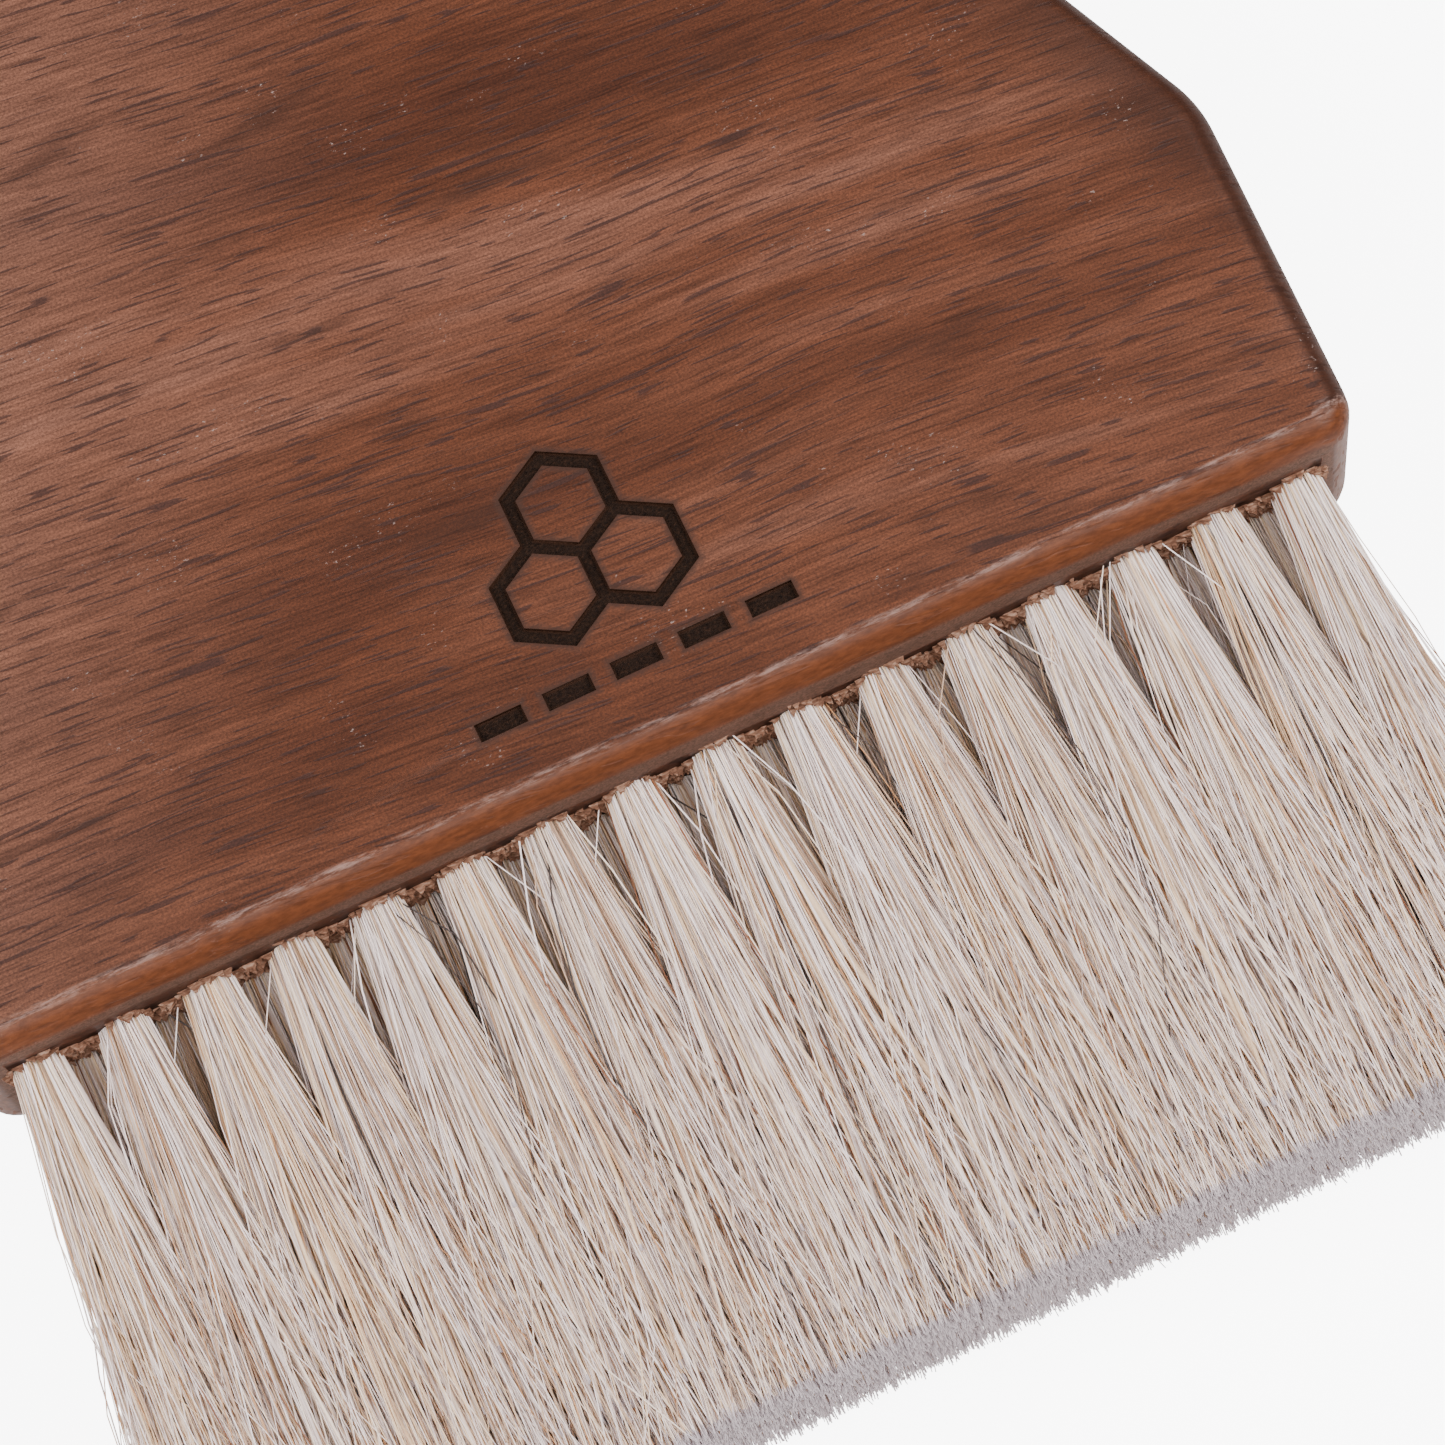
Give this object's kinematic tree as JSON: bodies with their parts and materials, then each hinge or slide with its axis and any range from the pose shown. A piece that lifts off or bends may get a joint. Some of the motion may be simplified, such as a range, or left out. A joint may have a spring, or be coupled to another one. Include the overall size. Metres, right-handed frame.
{
  "type": "bee brush",
  "caption": "Wide wooden hand brush with a waisted grip and three staggered rows of natural hair tufts drawn into blind holes.",
  "frame": {"origin": "centre of the bounding box's bottom face: the brush lies on its back", "axes": "+Z out of the front face that carries the mark, +Y towards the end of the grip with the hair pointing to -Y, +X across the head"},
  "size_m": [0.1348, 0.175, 0.024],
  "materials": {
    "wood": "walnut-stained beech, satin, worn along the edges",
    "hair": "drawn natural horsehair, cream with a few brown hairs",
    "anchor_steel": "flat steel wire"
  },
  "bodies": {
    "root": {"block": "wood", "anchors_front": "anchor_steel", "anchors_middle": "anchor_steel", "anchors_back": "anchor_steel", "tuft_front_01": "hair", "tuft_front_02": "hair", "tuft_front_03": "hair", "tuft_front_04": "hair", "tuft_front_05": "hair", "tuft_front_06": "hair", "tuft_front_07": "hair", "tuft_front_08": "hair", "tuft_front_09": "hair", "tuft_front_10": "hair", "tuft_front_11": "hair", "tuft_front_12": "hair", "tuft_front_13": "hair", "tuft_front_14": "hair", "tuft_front_15": "hair", "tuft_front_16": "hair", "tuft_middle_01": "hair", "tuft_middle_02": "hair", "tuft_middle_03": "hair", "tuft_middle_04": "hair", "tuft_middle_05": "hair", "tuft_middle_06": "hair", "tuft_middle_07": "hair", "tuft_middle_08": "hair", "tuft_middle_09": "hair", "tuft_middle_10": "hair", "tuft_middle_11": "hair", "tuft_middle_12": "hair", "tuft_middle_13": "hair", "tuft_middle_14": "hair", "tuft_middle_15": "hair", "tuft_back_01": "hair", "tuft_back_02": "hair", "tuft_back_03": "hair", "tuft_back_04": "hair", "tuft_back_05": "hair", "tuft_back_06": "hair", "tuft_back_07": "hair", "tuft_back_08": "hair", "tuft_back_09": "hair", "tuft_back_10": "hair", "tuft_back_11": "hair", "tuft_back_12": "hair", "tuft_back_13": "hair", "tuft_back_14": "hair", "tuft_back_15": "hair", "tuft_back_16": "hair"}
  },
  "joints": []
}
